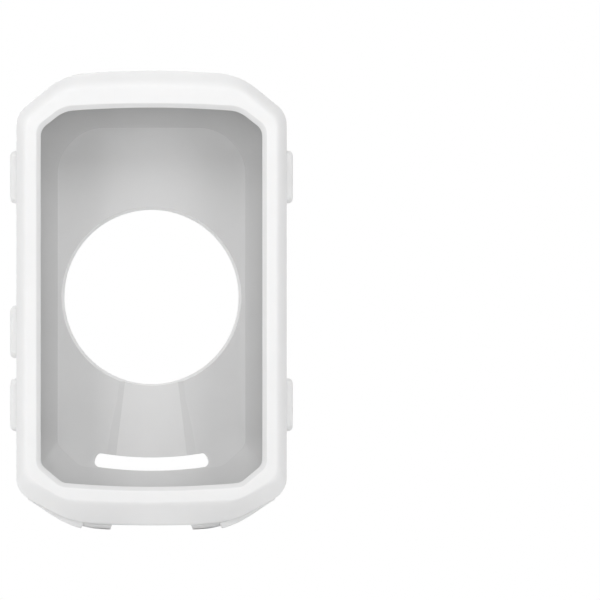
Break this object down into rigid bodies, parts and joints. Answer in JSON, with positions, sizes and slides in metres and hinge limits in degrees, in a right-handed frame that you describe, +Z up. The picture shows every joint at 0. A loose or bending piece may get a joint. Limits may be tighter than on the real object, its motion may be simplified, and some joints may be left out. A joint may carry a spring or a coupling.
{
  "type": "cycling computer case",
  "caption": "White silicone protective case for a button-operated cycling computer: bumper rim, open screen side, round mount hole in the back, press-through button pads and a lanyard notch.",
  "frame": {"origin": "on the floor of the pocket, on the axis of the round mount hole in the back", "axes": "+Z up along the case's length, -Y out of the open screen side, +Y out of the back, +X to the right as seen from the screen side"},
  "size_m": [0.0598, 0.0195, 0.0976],
  "materials": {
    "white_silicone": "matte"
  },
  "bodies": {
    "sleeve": {"sleeve": "white_silicone"},
    "upper_left_pad": {"upper_left_pad": "white_silicone"},
    "middle_left_pad": {"middle_left_pad": "white_silicone"},
    "lower_left_pad": {"lower_left_pad": "white_silicone"},
    "upper_right_pad": {"upper_right_pad": "white_silicone"},
    "lower_right_pad": {"lower_right_pad": "white_silicone"},
    "bottom_left_pad": {"bottom_left_pad": "white_silicone"},
    "bottom_right_pad": {"bottom_right_pad": "white_silicone"}
  },
  "joints": [
    {"name": "upper_left_press", "type": "slide", "parent": "sleeve", "child": "upper_left_pad", "axis": [1, 0, 0], "range_m": [0, 0.0007], "stiffness_N_per_m": 1000},
    {"name": "middle_left_press", "type": "slide", "parent": "sleeve", "child": "middle_left_pad", "axis": [1, 0, 0], "range_m": [0, 0.0007], "stiffness_N_per_m": 1000},
    {"name": "lower_left_press", "type": "slide", "parent": "sleeve", "child": "lower_left_pad", "axis": [1, 0, 0], "range_m": [0, 0.0007], "stiffness_N_per_m": 1000},
    {"name": "upper_right_press", "type": "slide", "parent": "sleeve", "child": "upper_right_pad", "axis": [-1, 0, 0], "range_m": [0, 0.0007], "stiffness_N_per_m": 1000},
    {"name": "lower_right_press", "type": "slide", "parent": "sleeve", "child": "lower_right_pad", "axis": [-1, 0, 0], "range_m": [0, 0.0007], "stiffness_N_per_m": 1000},
    {"name": "bottom_left_press", "type": "slide", "parent": "sleeve", "child": "bottom_left_pad", "axis": [0.4003, 0, 0.9164], "range_m": [0, 0.0007], "stiffness_N_per_m": 1000},
    {"name": "bottom_right_press", "type": "slide", "parent": "sleeve", "child": "bottom_right_pad", "axis": [-0.4003, 0, 0.9164], "range_m": [0, 0.0007], "stiffness_N_per_m": 1000}
  ]
}
